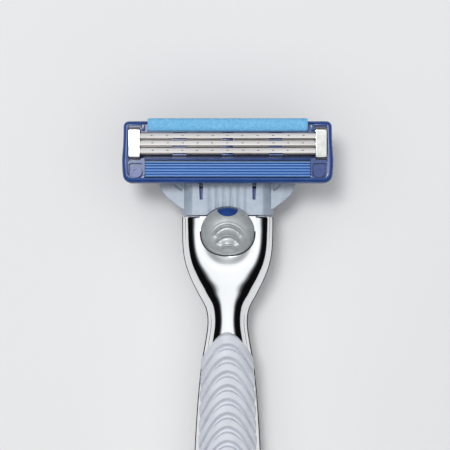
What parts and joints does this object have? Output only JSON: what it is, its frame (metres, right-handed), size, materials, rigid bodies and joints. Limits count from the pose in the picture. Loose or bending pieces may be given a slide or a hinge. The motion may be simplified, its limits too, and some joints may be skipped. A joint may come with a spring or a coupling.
{
  "type": "cartridge razor",
  "caption": "Wet-shaving razor: plated handle with elastomer grips, thumb release button and a sprung pivoting blade cartridge.",
  "frame": {"origin": "on the surface the razor lies on, under the middle of its overall box", "axes": "+Z out of the shaving face, away from the surface it lies on; +Y from the tail of the handle to the head; X across the head"},
  "size_m": [0.0414, 0.145, 0.0194],
  "materials": {
    "chrome_plate": "bright chrome plating on a die-cast handle",
    "grip_elastomer": "soft satin moulded elastomer, light grey",
    "nose_plastic": "moulded plastic, dark navy",
    "button_plastic": "satin moulded plastic, grey",
    "inlay_plastic": "moulded plastic, deep blue",
    "connector_plastic": "satin moulded plastic, pale blue-grey",
    "spring_wire": "drawn spring steel wire",
    "housing_plastic": "glossy moulded plastic, royal blue",
    "strip_polymer": "dry lubricating polymer with a mottled surface, light blue",
    "guard_elastomer": "soft moulded elastomer, mid blue",
    "clip_metal": "bright bent sheet metal",
    "blade_steel": "ground and coated blade steel",
    "support_steel": "bent stainless strip"
  },
  "bodies": {
    "handle": {"handle_casting": "chrome_plate", "front_grip": "grip_elastomer", "back_grip": "grip_elastomer", "docking_nose": "nose_plastic", "button_spring": "spring_wire"},
    "button": {"button_cap": "button_plastic", "button_inlay": "inlay_plastic", "ejector_fork": "connector_plastic"},
    "connector": {"connector_yoke": "connector_plastic", "plunger_spring": "spring_wire"},
    "plunger": {"plunger": "connector_plastic"},
    "cartridge": {"cartridge_housing": "housing_plastic", "lubricating_strip": "strip_polymer", "guard_fins": "guard_elastomer", "clip_left": "clip_metal", "clip_right": "clip_metal"},
    "blade_1": {"blade_1": "blade_steel", "blade_support_1": "support_steel"},
    "blade_2": {"blade_2": "blade_steel", "blade_support_2": "support_steel"},
    "blade_3": {"blade_3": "blade_steel", "blade_support_3": "support_steel"}
  },
  "joints": [
    {"name": "button_slide", "type": "slide", "parent": "handle", "child": "button", "axis": [0, 1, 0], "range_m": [0, 0.003], "stiffness_N_per_m": 250, "springref_m": -0.0015, "deforming": ["button_spring"]},
    {"name": "cartridge_release", "type": "slide", "parent": "handle", "child": "connector", "axis": [0, 1, 0], "range_m": [0, 0.02]},
    {"name": "cartridge_pivot", "type": "hinge", "parent": "connector", "child": "cartridge", "pos_m": [0, 0.0613, 0.0129], "axis": [-1, 0, 0], "range_deg": [0, 40], "stiffness_Nm_per_rad": 0.012, "springref_deg": -17.19},
    {"name": "plunger_slide", "type": "slide", "parent": "connector", "child": "plunger", "axis": [0, -1, 0], "range_m": [0, 0.0021], "deforming": ["plunger_spring"]},
    {"name": "blade_1_float", "type": "slide", "parent": "cartridge", "child": "blade_1", "axis": [0, 0, -1], "range_m": [0, 0.0004], "stiffness_N_per_m": 150, "springref_m": -0.0005},
    {"name": "blade_2_float", "type": "slide", "parent": "cartridge", "child": "blade_2", "axis": [0, 0, -1], "range_m": [0, 0.0004], "stiffness_N_per_m": 150, "springref_m": -0.0005},
    {"name": "blade_3_float", "type": "slide", "parent": "cartridge", "child": "blade_3", "axis": [0, 0, -1], "range_m": [0, 0.0004], "stiffness_N_per_m": 150, "springref_m": -0.0005}
  ],
  "couplings": [
    {"joint": "plunger_slide", "follows": "cartridge_pivot", "m_per_rad": 0.003}
  ]
}
